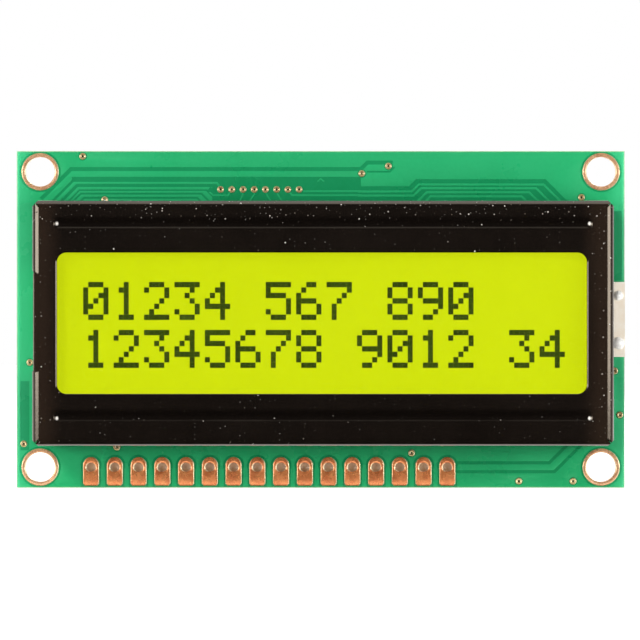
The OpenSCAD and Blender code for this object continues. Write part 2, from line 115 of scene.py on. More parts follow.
# Copper: bare lands, the layer under the mask, and the holes that the lands plate
copper_t = 0.05
plating = 0.02
ring_r = 2.0
pad_half, pad_arch, pad_foot = 0.865, 0.22, -1.98
via_r = 0.36
via_hole_r = 0.13
terminal_x = board.x1 - 0.7
terminal_z = 2.54
mask_t, back_mask_t = 0.018, 0.03
VIAS = [(board.x0 + 21.8 + 1.2 * i, board.z1 - 4.1) for i in range(8)]
VIAS += [(board.x0 + dx, board.z1 - dz) for dx, dz in ((7.05, 0.55), (9.4, 5.2))]
VIAS += [(board.x1 - dx, board.z1 - dz) for dx, dz in ((28.1, 2.4), (25.25, 1.6), (4.6, 4.95))]
VIAS += [(board.x0 + dx, board.z0 + dz) for dx, dz in ((1.4, 13.4), (0.75, 4.7), (10.7, 4.35))]
VIAS += [(board.x1 - dx, board.z0 + dz)
         for dx, dz in ((11.3, 0.7), (5.5, 0.7), (0.5, 7.8), (1.05, 12.5))]
VIAS.append((pin_first + 13.5 * pin_pitch, pin_z + 1.52))

# Characters: the dots of five columns and seven rows, and where each line of text starts
dot_w, dot_h, dot_t = 0.536, 0.5725, 0.01
dot_gap = 0.004
character_pitch = 3.215
text_x0 = -25.1
text_tops = (3.95, -1.1)
layer_h = cell.h1 - 0.015

# White ink on the back: its outer face and its thickness
ink_h, ink_t = board.h0 - 0.05, 0.015


# ---------------------------------------------------------------- meshes

def place(x, z, h):
    """A point of the module in the frame, in metres."""
    return Vector((x, -h, z)) * MM


def new_piece(name, mesh, material, nodes=(), smooth=40):
    """A finished piece that rides on the module's one body. smooth is the angle in degrees up
    to which neighbouring faces look like one surface."""
    obj = bpy.data.objects.new(name, mesh)
    bpy.context.scene.collection.objects.link(obj)
    mesh.materials.clear()
    mesh.materials.append(material)
    mesh.polygons.foreach_set("use_smooth", [True] * len(mesh.polygons))
    mesh.set_sharp_from_angle(angle=math.radians(smooth))
    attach(obj, root)
    if nodes:
        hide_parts(*nodes)


def ring(bm, points, h):
    """Corners of a mesh, from a flat outline at one height."""
    return [bm.verts.new(place(x, z, h)) for x, z in points]


def bridge(bm, loops):
    """Faces between rings of points that have the same number of points."""
    for low, high in zip(loops, loops[1:]):
        for i in range(len(low)):
            j = (i + 1) % len(low)
            bm.faces.new((low[i], low[j], high[j], high[i]))


def fan(bm, tip, loop):
    """Faces from one point to a ring."""
    for i, corner in enumerate(loop):
        bm.faces.new((tip, loop[(i + 1) % len(loop)], corner))


def to_mesh(bm, name):
    """A bmesh whose faces are turned outwards, as a mesh."""
    bmesh.ops.recalc_face_normals(bm, faces=bm.faces)
    mesh = bpy.data.meshes.new(name)
    bm.to_mesh(mesh)
    bm.free()
    return mesh


def evaluated(obj):
    """The object's mesh with its modifiers applied. The object itself is removed."""
    graph = bpy.context.evaluated_depsgraph_get()
    mesh = bpy.data.meshes.new_from_object(obj.evaluated_get(graph))
    bpy.data.objects.remove(obj)
    return mesh


def scratch(name, mesh):
    """An object to put a modifier on."""
    obj = bpy.data.objects.new(name, mesh)
    bpy.context.scene.collection.objects.link(obj)
    return obj


def join_meshes(name, meshes):
    """One mesh made of several."""
    bm = bmesh.new()
    for mesh in meshes:
        bm.from_mesh(mesh)
    joined = bpy.data.meshes.new(name)
    bm.to_mesh(joined)
    bm.free()
    return joined


# ---------------------------------------------------------------- flat outlines

def ramp(value, low, high):
    """0 up to low, 1 from high on, and straight between them."""
    return min(max((value - low) / (high - low), 0.0), 1.0)


def circle(x, z, r, sides):
    """The corners of a many-sided circle."""
    turn = 2 * math.pi / sides
    return [(x + r * math.cos(i * turn), z + r * math.sin(i * turn)) for i in range(sides)]


def rect(x0, z0, x1, z1):
    """The corners of a rectangle, from its lowest to its highest corner."""
    return [(x0, z0), (x1, z0), (x1, z1), (x0, z1)]


def rounded_rect(x0, z0, x1, z1, r, steps=10):
    """A rectangle with corners of radius r, each in so many steps."""
    points = []
    for cx, cz, start in ((x1 - r, z1 - r, 0), (x0 + r, z1 - r, 90),
                          (x0 + r, z0 + r, 180), (x1 - r, z0 + r, 270)):
        for i in range(steps + 1):
            a = math.radians(start + 90 * i / steps)
            points.append((cx + r * math.cos(a), cz + r * math.sin(a)))
    return points


def ribbon(points, width):
    """The outline of a strip along a path, with mitred corners and square ends."""
    path = [Vector(p) for p in points]
    sides = ([], [])
    for i, p in enumerate(path):
        before = (p - path[i - 1]).normalized() if i else None
        after = (path[i + 1] - p).normalized() if i + 1 < len(path) else None
        along = (before or after) + (after or before)
        along.normalize()
        across = Vector((-along.y, along.x))
        straight = before or after
        reach = width / 2 / max(0.4, across.dot(Vector((-straight.y, straight.x))))
        sides[0].append(tuple(p + across * reach))
        sides[1].append(tuple(p - across * reach))
    return sides[0] + sides[1][::-1]


def new_corners(grown):
    """The corners that an extrusion has made."""
    return [part for part in grown["geom"] if isinstance(part, bmesh.types.BMVert)]


def plate(name, solid, clear, h0, h1, bevel=0.0):
    """A flat plate: what lies in any outline of solid and in none of clear."""
    points, faces = [], []
    for outline in solid + clear:
        turns = sum(a[0] * b[1] - b[0] * a[1] for a, b in zip(outline, outline[1:] + outline[:1]))
        faces.append(list(range(len(points), len(points) + len(outline))))
        points += [Vector(p) for p in (outline if turns > 0 else outline[::-1])]
    verts, _, tris, _, _, sources = delaunay_2d_cdt(points, [], faces, 0, 1e-5)
    count = len(solid)
    kept = [t for t, s in zip(tris, sources) if s and max(s) < count]
    bm = bmesh.new()
    corners = sorted({i for tri in kept for i in tri})
    used = {i: bm.verts.new(place(*verts[i], h0)) for i in corners}
    for tri in kept:
        bm.faces.new([used[i] for i in tri])
    bmesh.ops.dissolve_limit(bm, angle_limit=0.01, verts=bm.verts, edges=bm.edges)
    grown = bmesh.ops.extrude_face_region(bm, geom=bm.faces[:])
    bmesh.ops.translate(bm, verts=new_corners(grown), vec=(0, -(h1 - h0) * MM, 0))
    bmesh.ops.recalc_face_normals(bm, faces=bm.faces)
    if bevel:
        top_y = -h1 * MM + 1e-9
        rim = [e for e in bm.edges if all(v.co.y < top_y for v in e.verts)
               and e.is_manifold and e.calc_face_angle(0) > 1]
        bmesh.ops.bevel(bm, geom=rim, offset=bevel * MM, segments=2, profile=0.6,
                        affect="EDGES", clamp_overlap=True)
    return to_mesh(bm, name)


# ---------------------------------------------------------------- copies on points

def copies_tree():
    """A Geometry Nodes tree that puts a piece on every point of a mesh, scaled by Size, and
    joins the copies."""
    tree = bpy.data.node_groups.new("copies_at_points", "GeometryNodeTree")
    for label, way, kind in (("Points", "INPUT", "Geometry"), ("Piece", "INPUT", "Object"),
                             ("Size", "INPUT", "Vector"), ("Finish", "INPUT", "Material"),
                             ("Copies", "OUTPUT", "Geometry")):
        tree.interface.new_socket(label, in_out=way, socket_type="NodeSocket" + kind)
    given, info, put, real, paint, made = [tree.nodes.new(kind) for kind in (
        "NodeGroupInput", "GeometryNodeObjectInfo", "GeometryNodeInstanceOnPoints",
        "GeometryNodeRealizeInstances", "GeometryNodeSetMaterial", "NodeGroupOutput")]
    for source, made_as, target, taken_as in (
            (given, "Piece", info, "Object"), (given, "Points", put, "Points"),
            (info, "Geometry", put, "Instance"), (given, "Size", put, "Scale"),
            (put, "Instances", real, "Geometry"), (real, "Geometry", paint, "Geometry"),
            (given, "Finish", paint, "Material"), (paint, "Geometry", made, "Copies")):
        tree.links.new(source.outputs[made_as], target.inputs[taken_as])
    return tree


COPIES = copies_tree()


def copies(name, model, places, material, size=(1.0, 1.0, 1.0)):
    """One mesh with a copy of the model at each place. size scales the model along x, y and z."""
    points = bpy.data.meshes.new(name + "_points")
    points.from_pydata([place(x, z, 0) for x, z in places], [], [])
    holder = scratch(name + "_holder", points)
    source = scratch(name + "_source", model)
    mod = holder.modifiers.new("copies", "NODES")
    mod.node_group = COPIES
    sockets = {s.name: s.identifier for s in COPIES.interface.items_tree if s.in_out == "INPUT"}
    mod[sockets["Piece"]] = source
    mod[sockets["Size"]] = size
    mod[sockets["Finish"]] = material
    bpy.context.view_layer.update()
    mesh = evaluated(holder)
    bpy.data.objects.remove(source)
    mesh.name = name
    return mesh


# ---------------------------------------------------------------- colours and shared effects

def srgb(r, g, b):
    """A colour given as 0 to 255 on screen, as the shader wants it."""
    def linear(c):
        c /= 255
        return c / 12.92 if c <= 0.04045 else ((c + 0.055) / 1.055) ** 2.4
    return (linear(r), linear(g), linear(b), 1.0)


class Nodes:
    """Short ways to add nodes to a tree."""

    def __init__(self, tree):
        self.tree = tree

    def add(self, kind, settings=None, **inputs):
        """A node, with its settings and what goes into its inputs."""
        node = self.tree.nodes.new(kind)
        for key, value in (settings or {}).items():
            setattr(node, key, value)
        for key, value in inputs.items():
            self.set(node, key, value)
        return node

    def set(self, node, key, value):
        """Give an input a value or a link. i0, i1 and so on are its number, else it is a name."""
        numbered = key[0] == "i" and key[1:].isdigit()
        socket = node.inputs[int(key[1:]) if numbered else key.replace("_", " ")]
        if isinstance(value, bpy.types.NodeSocket):
            self.tree.links.new(value, socket)
        else:
            socket.default_value = value

    def math(self, operation, a, b=0.0):
        """A sum or another calculation with two values."""
        return self.add("ShaderNodeMath", {"operation": operation}, i0=a, i1=b).outputs[0]

    def mix(self, share, a, b):
        """Colour a at share 0, and b at share 1."""
        return self.add("ShaderNodeMix", {"data_type": "RGBA"}, i0=share, i6=a, i7=b).outputs[2]

    def span(self, value, low, high, to_low=0.0, to_high=1.0):
        """The value, moved from the range low to high to the range to_low to to_high."""
        return self.add("ShaderNodeMapRange", {"clamp": True}, i0=value, i1=low, i2=high,
                        i3=to_low, i4=to_high).outputs[0]

    def axis(self, letter, vector=None):
        """One coordinate of a vector, or of the place in the frame."""
        source = self.object_point() if vector is None else vector
        return self.add("ShaderNodeSeparateXYZ", Vector=source).outputs[letter]

    def ray(self, kind):
        """1 for rays of one kind: Camera, Shadow, Glossy or Transmission."""
        return self.add("ShaderNodeLightPath").outputs[f"Is {kind} Ray"]

    def shiny_ray(self):
        """1 for rays that were mirrored or went through something clear."""
        return self.math("MAXIMUM", self.ray("Glossy"), self.ray("Transmission"))

    def object_point(self):
        """The place in the frame, in metres."""
        return self.add("ShaderNodeTexCoord").outputs["Object"]


def effect(name, inputs, outputs):
    """An empty shader node group with named sockets, ready to be filled."""
    tree = bpy.data.node_groups.new(name, "ShaderNodeTree")
    kinds = {"value": "NodeSocketFloat", "color": "NodeSocketColor"}
    for label, kind, start in inputs:
        socket = tree.interface.new_socket(label, in_out="INPUT", socket_type=kinds[kind])
        socket.default_value = start
    for label, kind in outputs:
        tree.interface.new_socket(label, in_out="OUTPUT", socket_type=kinds[kind])
    kit = Nodes(tree)
    return kit, kit.add("NodeGroupInput").outputs, kit.add("NodeGroupOutput")


def grain_effect():
    """Fine and coarse unevenness: a colour between two, and a height."""
    kit, given, made = effect(
        "grain",
        [("Color A", "color", (0.5, 0.5, 0.5, 1)), ("Color B", "color", (0.6, 0.6, 0.6, 1)),
         ("Fine", "value", 4000.0), ("Coarse", "value", 300.0)],
        [("Color", "color"), ("Height", "value")])
    point = kit.object_point()
    fine = kit.add("ShaderNodeTexNoise", Vector=point, Scale=given["Fine"], Detail=3.0)
    coarse = kit.add("ShaderNodeTexNoise", Vector=point, Scale=given["Coarse"], Detail=2.0)
    both = kit.math("ADD", kit.math("MULTIPLY", fine.outputs["Fac"], 0.4),
                    kit.math("MULTIPLY", coarse.outputs["Fac"], 0.6))
    share = kit.span(both, 0.35, 0.65)
    kit.set(made, "Color", kit.mix(share, given["Color A"], given["Color B"]))
    kit.set(made, "Height", fine.outputs["Fac"])
    return kit.tree


def specks_effect():
    """Scattered specks of dust: 1 on a speck and 0 between them. The flat pattern leans with
    depth, so that the specks stay short on the front and on every wall."""
    kit, given, made = effect(
        "specks",
        [("Cells", "value", 900.0), ("Radius", "value", 0.08), ("Share", "value", 0.4)],
        [("Mask", "value"), ("Tone", "value")])
    depth = kit.axis("Y")
    across = kit.math("ADD", kit.axis("X"), kit.math("MULTIPLY", depth, 0.7))
    up = kit.math("ADD", kit.axis("Z"), kit.math("MULTIPLY", depth, 0.8))
    flat = kit.add("ShaderNodeCombineXYZ", X=across, Y=up)
    cells = kit.add("ShaderNodeTexVoronoi", {"voronoi_dimensions": "2D"},
                    Vector=flat.outputs["Vector"], Scale=given["Cells"])
    tone = kit.add("ShaderNodeSeparateColor", Color=cells.outputs["Color"])
    chosen = kit.math("LESS_THAN", tone.outputs["Red"], given["Share"])
    size = kit.math("MULTIPLY", given["Radius"], kit.span(tone.outputs["Green"], 0, 1, 0.5, 1.2))
    inside = kit.span(cells.outputs["Distance"], size, kit.math("MULTIPLY", size, 0.5))
    kit.set(made, "Mask", kit.math("MULTIPLY", chosen, inside))
    kit.set(made, "Tone", tone.outputs["Blue"])
    return kit.tree


def smudge_effect():
    """Roughness that drifts between two values, as on a handled surface."""
    kit, given, made = effect(
        "smudge",
        [("Low", "value", 0.2), ("High", "value", 0.3), ("Scale", "value", 150.0)],
        [("Roughness", "value")])
    cloud = kit.add("ShaderNodeTexNoise", Vector=kit.object_point(), Scale=given["Scale"],
                    Detail=4.0, Roughness=0.6)
    kit.set(made, "Roughness", kit.span(cloud.outputs["Fac"], 0.35, 0.65,
                                        given["Low"], given["High"]))
    return kit.tree


GRAIN, SPECKS, SMUDGE = grain_effect(), specks_effect(), smudge_effect()


class Material(Nodes):
    """A material round one Principled BSDF."""

    def __init__(self, name, **values):
        self.material = bpy.data.materials.new(name)
        self.material.use_nodes = True
        super().__init__(self.material.node_tree)
        self.shader = self.tree.nodes["Principled BSDF"]
        self.output = self.tree.nodes["Material Output"]
        for key, value in values.items():
            self.set(self.shader, key, value)

    def effect(self, group, **inputs):
        """What a shared effect puts out, with this material's own values."""
        return self.add("ShaderNodeGroup", {"node_tree": group}, **inputs).outputs

    def bump(self, height, depth):
        """Relief in the surface, so many millimetres deep."""
        node = self.add("ShaderNodeBump", Distance=depth * MM, Height=height)
        self.set(self.shader, "Normal", node.outputs["Normal"])


def plain(name, color_a, color_b, low, high, fine=4000.0, coarse=300.0, depth=0.004, **values):
    """A finish with uneven colour, roughness that drifts from low to high, and fine relief."""
    m = Material(name, **values)
    grain = m.effect(GRAIN, Color_A=color_a, Color_B=color_b, Fine=fine, Coarse=coarse)
    m.set(m.shader, "Base_Color", grain["Color"])
    m.set(m.shader, "Roughness", m.effect(SMUDGE, Low=low, High=high)["Roughness"])
    m.bump(grain["Height"], depth)
    return m.material


# ---------------------------------------------------------------- finishes

def mask_finish(name, color_a, color_b):
    """Green solder mask with painted glare towards both sides, and the laminate's cut edge."""
    m = Material(name, Specular_IOR_Level=0.3)
    grain = m.effect(GRAIN, Color_A=color_a, Color_B=color_b, Fine=2600.0, Coarse=160.0)
    from_side = m.math("SUBTRACT", board.x1 * MM, m.math("ABSOLUTE", m.axis("X")))
    from_top = m.math("SUBTRACT", board.z1 * MM, m.math("ABSOLUTE", m.axis("Z")))
    from_edge = m.math("MINIMUM", from_side, from_top)
    # Painted glare: the mask turns paler within about 2 mm of the board's left and right sides.
    glare_color = tuple(k * c + 0.03 for k, c in zip((2.0, 1.45, 1.7), color_b)) + (1,)
    painted_glare = m.math("MULTIPLY", m.span(from_side, 0.3 * MM, 2.2 * MM, 1.0, 0.0), 0.45)
    painted_glare = m.math("MAXIMUM", painted_glare, m.span(from_side, 0.1 * MM, 0.6 * MM, 1.0, 0.0))
    toned = m.mix(painted_glare, grain["Color"], glare_color)
    margin = m.math("MULTIPLY", m.span(from_edge, 0.05 * MM, 0.11 * MM, 1.0, 0.0), 0.7)
    weave = m.effect(GRAIN, Color_A=srgb(150, 190, 140), Color_B=srgb(180, 205, 160),
                     Fine=3500.0, Coarse=900.0)
    m.set(m.shader, "Base_Color", m.mix(margin, toned, weave["Color"]))
    m.set(m.shader, "Roughness", m.effect(SMUDGE, Low=0.24, High=0.34)["Roughness"])
    m.bump(grain["Height"], 0.002)
    return m.material


def enamel_finish():
    """Glossy black enamel with orange peel, dust along the top and right, a painted glint at
    the four groove ends, painted shade along the grooves, and browner towards the window's ends."""
    m = Material("black_enamel", Specular_IOR_Level=0.9, Specular_Tint=(1, 0.86, 0.68, 1))
    across, height = m.axis("X"), m.axis("Z")
    upper = m.span(height, (groove_zs[0] + 0.1) * MM, (groove_zs[0] + 0.6) * MM)
    beside = m.span(across, (window_x1 + 0.6) * MM, (window_x1 + 1.2) * MM, 0.0, 0.55)
    dusty = m.math("MAXIMUM", upper, beside)
    dust = m.effect(SPECKS, Cells=1050.0, Radius=0.09, Share=m.span(dusty, 0, 1, 0.04, 0.6))
    haze = m.effect(SPECKS, Cells=1900.0, Radius=0.1, Share=m.span(dusty, 0, 1, 0.15, 0.5))
    both = m.math("MAXIMUM", dust["Mask"], m.math("MULTIPLY", haze["Mask"], 0.3))
    tone = m.math("POWER", dust["Tone"], 2.5)
    # Painted glints: a near-white spot at each groove end, added to the dust mask and its colour.
    for x in (groove_x0 - 0.1, groove_x1 + 0.13):
        for z in (groove_zs[0] + 0.03, groove_zs[1] - 0.16):
            off_x = m.math("SUBTRACT", across, x * MM)
            off_z = m.math("MULTIPLY", m.math("SUBTRACT", height, z * MM), 0.8)
            off = m.math("SQRT", m.math("ADD", m.math("MULTIPLY", off_x, off_x),
                                        m.math("MULTIPLY", off_z, off_z)))
            both = m.math("MAXIMUM", both, m.span(off, 0.06 * MM, 0.2 * MM, 1.0, 0.0))
            tone = m.math("MAXIMUM", tone, m.span(off, 0.22 * MM, 0.3 * MM, 1.0, 0.0))
    dust_and_glint_color = m.mix(tone, srgb(70, 62, 54), srgb(255, 250, 240))
    paint = m.effect(GRAIN, Color_A=srgb(13, 9, 7), Color_B=srgb(19, 14, 11),
                     Fine=700.0, Coarse=120.0)
    middle = (window_x0 + window_x1) / 2
    window_end = window_x1 - middle
    from_middle = m.math("ABSOLUTE", m.math("SUBTRACT", across, middle * MM))
    end = m.span(from_middle, (window_end - 0.6) * MM, (window_end + 1.4) * MM)
    # Browner enamel towards the window's left and right ends.
    browner_at_ends = m.mix(m.math("MULTIPLY", end, 0.85), paint["Color"], srgb(37, 27, 20))
    # Painted shade: the enamel is darkened along both grooves, within the window's span.
    sunk = [m.span(m.math("ABSOLUTE", m.math("SUBTRACT", height, (z + 0.2) * MM)),
                   0.35 * MM, 0.85 * MM, 0.8, 0.0) for z in groove_zs]
    inside = m.span(from_middle, window_end * MM, (window_end + 0.8) * MM, 1.0, 0.0)
    sunk = m.math("MULTIPLY", m.math("MAXIMUM", *sunk), inside)
    toned = m.mix(sunk, browner_at_ends, srgb(8, 5, 4))
    m.set(m.shader, "Base_Color", m.mix(both, toned, dust_and_glint_color))
    smooth = m.effect(SMUDGE, Low=0.1, High=0.18, Scale=110.0)["Roughness"]
    m.set(m.shader, "Roughness", m.math("ADD", smooth, m.math("MULTIPLY", both, 0.5)))
    peel = m.add("ShaderNodeTexNoise", Vector=m.object_point(), Scale=900.0, Detail=2.0)
    m.bump(peel.outputs["Fac"], 0.004)
    return m.material


def copper_finish(name, color_a, color_b, tarnished, metallic):
    """Bare copper, tarnished in patches, with a painted cream highlight on faces turned sideways.
    """
    m = Material(name, Metallic=metallic)
    base = m.effect(GRAIN, Color_A=color_a, Color_B=color_b, Fine=5200.0, Coarse=1500.0)
    brown = m.add("ShaderNodeTexNoise", Vector=m.object_point(), Scale=700.0, Detail=4.0)
    tarnish = m.span(brown.outputs["Fac"], 0.52, 0.7, 0.0, 0.6)
    # Painted highlight: faces turned right, and less those turned left, are mixed towards cream.
    turned = m.axis("X", m.add("ShaderNodeNewGeometry").outputs["Normal"])
    to_right = m.span(turned, 0.2, 0.6)
    to_left = m.span(turned, -0.35, -0.7, 0.0, 0.55)
    bright = m.math("MAXIMUM", to_right, to_left)
    copper = m.mix(tarnish, base["Color"], tarnished)
    m.set(m.shader, "Base_Color", m.mix(bright, copper, srgb(255, 246, 206)))
    m.set(m.shader, "Roughness", m.effect(SMUDGE, Low=0.2, High=0.34, Scale=1200.0)["Roughness"])
    m.bump(base["Height"], 0.006)
    return m.material


def pane_finish(name, tint, roughness):
    """Clear film or glass that lets lamp light through to what lies behind it."""
    m = Material(name, Base_Color=tint, Roughness=roughness, Transmission_Weight=1.0, IOR=1.3)
    clear = m.add("ShaderNodeBsdfTransparent", Color=tint)
    mixed = m.add("ShaderNodeMixShader", i0=m.ray("Shadow"), i1=m.shader.outputs["BSDF"],
                  i2=clear.outputs["BSDF"])
    m.set(m.output, "Surface", mixed.outputs["Shader"])
    return m.material


def display_finish():
    """The lit yellow-green layer behind the glass."""
    m = Material("display_layer", Roughness=0.8, Specular_IOR_Level=0.0, Emission_Strength=3.3)
    glow = m.effect(GRAIN, Color_A=(0.170, 0.196, 0.0008, 1), Color_B=(0.176, 0.202, 0.0012, 1),
                    Fine=900.0, Coarse=60.0)
    m.set(m.shader, "Base_Color", m.mix(0.6, glow["Color"], (0, 0, 0, 1)))
    m.set(m.shader, "Emission_Color", glow["Color"])
    return m.material


def resin_finish():
    """Poured black resin: glossy, with a slow ripple."""
    m = Material("black_resin", Specular_IOR_Level=0.5)
    base = m.effect(GRAIN, Color_A=srgb(16, 16, 17), Color_B=srgb(26, 26, 27), Fine=1500.0,
                    Coarse=200.0)
    m.set(m.shader, "Base_Color", base["Color"])
    m.set(m.shader, "Roughness", m.effect(SMUDGE, Low=0.3, High=0.45)["Roughness"])
    ripple = m.add("ShaderNodeTexNoise", Vector=m.object_point(), Scale=260.0, Detail=2.0)
    m.bump(ripple.outputs["Fac"], 0.06)
    return m.material


MASK_COPPER = mask_finish("mask_over_copper", srgb(32, 160, 98), srgb(38, 166, 104))
MASK_BARE = mask_finish("mask_over_laminate", srgb(14, 132, 78), srgb(18, 138, 84))
COPPER = copper_finish("bare_copper", srgb(224, 130, 76), srgb(236, 154, 94), srgb(180, 92, 52),
                       0.45)
RING = copper_finish("tinned_ring", srgb(222, 166, 120), srgb(240, 190, 146), srgb(196, 126, 84),
                     0.5)
VIA = copper_finish("dull_via", srgb(198, 170, 112), srgb(226, 202, 150), srgb(150, 116, 70), 0.55)
# Painted highlight: solder is a near-white matt colour instead of grey metal, standing in for its
# glare.
SOLDER_PAINTED_GLARE = plain("solder_painted_glare", srgb(250, 247, 240), srgb(255, 254, 250), 0.2, 0.32,
               fine=1800.0, coarse=700.0, depth=0.006, Metallic=0.1)
# Painted shade: the dull brown of the sheets that close the pin holes.
HOLE_SHADE = plain("painted_hole_shade", srgb(150, 112, 80), srgb(172, 138, 104), 0.3, 0.5,
             fine=3000.0, coarse=1100.0, depth=0.01)
ENAMEL = enamel_finish()
RESIN = resin_finish()
FILM = pane_finish("clear_film", (0.99, 1.0, 0.97, 1), 0.05)
GLASS = pane_finish("cell_glass", (0.98, 1.0, 0.99, 1), 0.02)
DISPLAY = display_finish()
DOTS = plain("display_dots", srgb(38, 50, 8), srgb(44, 58, 12), 0.5, 0.6,
             Specular_IOR_Level=0.0)
BEIGE = plain("beige_laminate", srgb(250, 236, 214), srgb(255, 246, 230), 0.4, 0.6,
              fine=6000.0, coarse=900.0, depth=0.01)
INK = plain("white_ink", srgb(225, 228, 220), srgb(240, 242, 236), 0.5, 0.7)
TINNED = plain("tinned_wire", srgb(190, 190, 186), srgb(222, 222, 216), 0.2, 0.35,
               Metallic=1.0)
OVERGLAZE = plain("resistor_glaze", srgb(20, 20, 22), srgb(30, 30, 33), 0.25, 0.4)
CERAMIC = plain("tan_ceramic", srgb(176, 132, 92), srgb(196, 152, 110), 0.35, 0.5)
WHITE_PLASTIC = plain("reflector_plastic", srgb(232, 230, 220), srgb(244, 242, 234),
                      0.45, 0.6)
MILKY = plain("milky_diffuser", srgb(226, 232, 196), srgb(238, 242, 212), 0.5, 0.6)
RUBBER = plain("grey_elastomer", srgb(70, 68, 68), srgb(88, 86, 84), 0.7, 0.85,
               fine=5000.0)
EPOXY = plain("pale_epoxy", srgb(214, 200, 150), srgb(228, 216, 172), 0.3, 0.5)
SILICON = plain("bare_silicon", srgb(92, 96, 106), srgb(112, 116, 126), 0.15, 0.25,
                Metallic=0.5)
DIE = plain("light_die", srgb(216, 206, 96), srgb(232, 224, 130), 0.3, 0.4,
            Emission_Strength=0.4)


# ---------------------------------------------------------------- copper under the mask

def front_copper():
    """The copper areas and tracks that show through the mask on the front."""
    whole = rect(board.x0, board.z0, board.x1, board.z1)
    gaps = [
        # left group, from the top
        ribbon([(-29.9, 12.88), (-26.7, 16.08), (4.3, 16.08), (5.0, 16.78), (7.7, 16.78)], 0.42),
        ribbon([(-29.2, 12.1), (-26.35, 14.98)], 0.27),
        ribbon([(-26.6, 14.98), (-11.2, 14.98)], 0.53),
        ribbon([(-28.2, 12.17), (-26.05, 14.32), (-11.2, 14.32)], 0.32),
        ribbon([(-27.1, 12.5), (-25.8, 13.82), (-12.2, 13.82), (-11.2, 12.82)], 0.17),
        ribbon([(-26.5, 12.6), (-25.65, 13.45), (-12.75, 13.45), (-11.9, 12.6)], 0.2),
        ribbon([(-25.7, 12.6), (-25.3, 13.0), (-13.2, 13.0), (-12.8, 12.6)], 0.2),
        # the copper-free field round the row of vias
        rect(-11.6, 12.3, 4.3, 15.25),
        ribbon([(-11.95, 14.0), (-11.0, 13.05)], 0.5),
        # link between the two vias right of it
        ribbon([(4.95, 15.8), (7.4, 15.8), (7.9, 16.3)], 0.18),
        # the field right of it, crossed by four tracks
        [(4.2, 12.3), (4.2, 14.25), (9.45, 14.25), (10.2, 15.0), (24.05, 15.0), (26.75, 12.3)],
        # bottom right
        ribbon([(14.4, -15.33), (24.45, -15.33), (26.4, -13.4)], 0.34),
        ribbon([(14.4, -16.28), (25.0, -16.28), (27.9, -13.4)], 0.34),
        # side margins
        rect(-32.1, -14.0, -31.15, -6.6),
        rect(31.0, 4.2, 32.2, 11.6),
    ]
    halos = [circle(x, z, ring_r + 0.2, 48) for x, z in HOLES]
    halos += [circle(x, z, via_r + 0.1, 20) for x, z in VIAS]
    for x, z in PINS:
        halos.append(circle(x, z + 0.22, 1.12, 32))
        halos.append(rect(x - 1.02, board.z0 + 0.05, x + 1.02, z + 0.22))
    under_bezel = rounded_rect(bezel_x0 + 0.8, bezel_z0 + 0.8, bezel_x1 - 0.8, bezel_z1 - 0.8, 0.5)
    return plate("front_copper", [whole], gaps + halos + [under_bezel],
                 board.h1, board.h1 + mask_t, 0.012)


def front_tracks():
    """Thin tracks that cross the copper-free field to the row of vias."""
    row = VIAS[:8]
    z = row[0][1]
    tracks = [
        ribbon([(-11.6, 14.6), (-11.1, 14.6), (row[0][0], z + 0.2)], 0.2),
        ribbon([(-11.9, 13.62), (-11.5, 13.28), (-9.9, 13.28), (row[1][0], z)], 0.16),
        ribbon([(-0.35, 14.75), (0.0, 15.05), (0.35, 14.75)], 0.12),
        ribbon([(4.0, 13.68), (9.75, 13.68), (10.5, 14.43), (23.85, 14.43), (26.0, 12.28)], 0.22),
        ribbon([(4.0, 13.24), (9.95, 13.24), (10.74, 14.03), (23.05, 14.03), (24.8, 12.28)], 0.22),
        ribbon([(10.05, 12.3), (11.35, 13.6), (22.3, 13.6), (23.6, 12.3)], 0.22),
        ribbon([(10.9, 12.3), (11.76, 13.16), (21.5, 13.16), (22.35, 12.3)], 0.22),
    ]
    for i, bend, end in ((2, 0.0, -0.35), (3, 0.0, -0.5), (4, 0.1, 0.6), (5, 0.1, 0.6)):
        x = row[i][0]
        tracks.append(ribbon([(x, z), (x + bend, 13.4), (x + end, 12.6)], 0.15))
    for i, level in ((6, 13.28), (7, 13.72)):
        x = row[i][0]
        tracks.append(ribbon([(x, z), (x + 0.45, level), (4.35, level)], 0.18))
    holes = [circle(x, z, via_r + 0.05, 20) for x, z in row]
    return plate("front_tracks", tracks, holes, board.h1, board.h1 + mask_t, 0.01)


new_piece("front_copper", front_copper(), MASK_COPPER)
new_piece("front_tracks", front_tracks(), MASK_COPPER)


# ---------------------------------------------------------------- lands

def land(name, outline, hole_r, funnel, shoulder, base_h, top_h):
    """A bare copper land round a hole: its edge is rounded, and it curves down into the hole and
    plates it to the middle. outline(angle) is how far its edge is from the hole's centre."""
    sides, steps, dip = 48, 5, 0.01
    side = 1 if top_h > base_h else -1
    thick = abs(top_h - base_h)
    quarter = [math.pi / 2 * k / steps for k in range(steps + 1)]
    rings = [(hole_r, None, (board.h0 + board.h1) / 2)]
    rings += [(hole_r + funnel * (1 - math.cos(a)), None,
               top_h - side * (thick + dip) * (1 - math.sin(a))) for a in quarter]
    rings += [(None, shoulder * (1 - math.sin(a)),
               top_h - side * thick * (1 - math.cos(a))) for a in quarter]
    turns = [2 * math.pi * (i + 0.5) / sides for i in range(sides)]
    bm = bmesh.new()
    loops = []
    for r, inset, h in rings:
        reaches = [r if inset is None else outline(a) - inset for a in turns]
        loops.append(ring(bm, [(reach * math.cos(a), reach * math.sin(a))
                               for reach, a in zip(reaches, turns)], h))
    bridge(bm, loops)
    mesh = bpy.data.meshes.new(name)
    bm.normal_update()
    bm.faces.ensure_lookup_table()
    if bm.faces[sides * (steps + 1) + 1].normal.y * side > 0:
        bmesh.ops.reverse_faces(bm, faces=bm.faces)
    bm.to_mesh(mesh)
    bm.free()
    return mesh


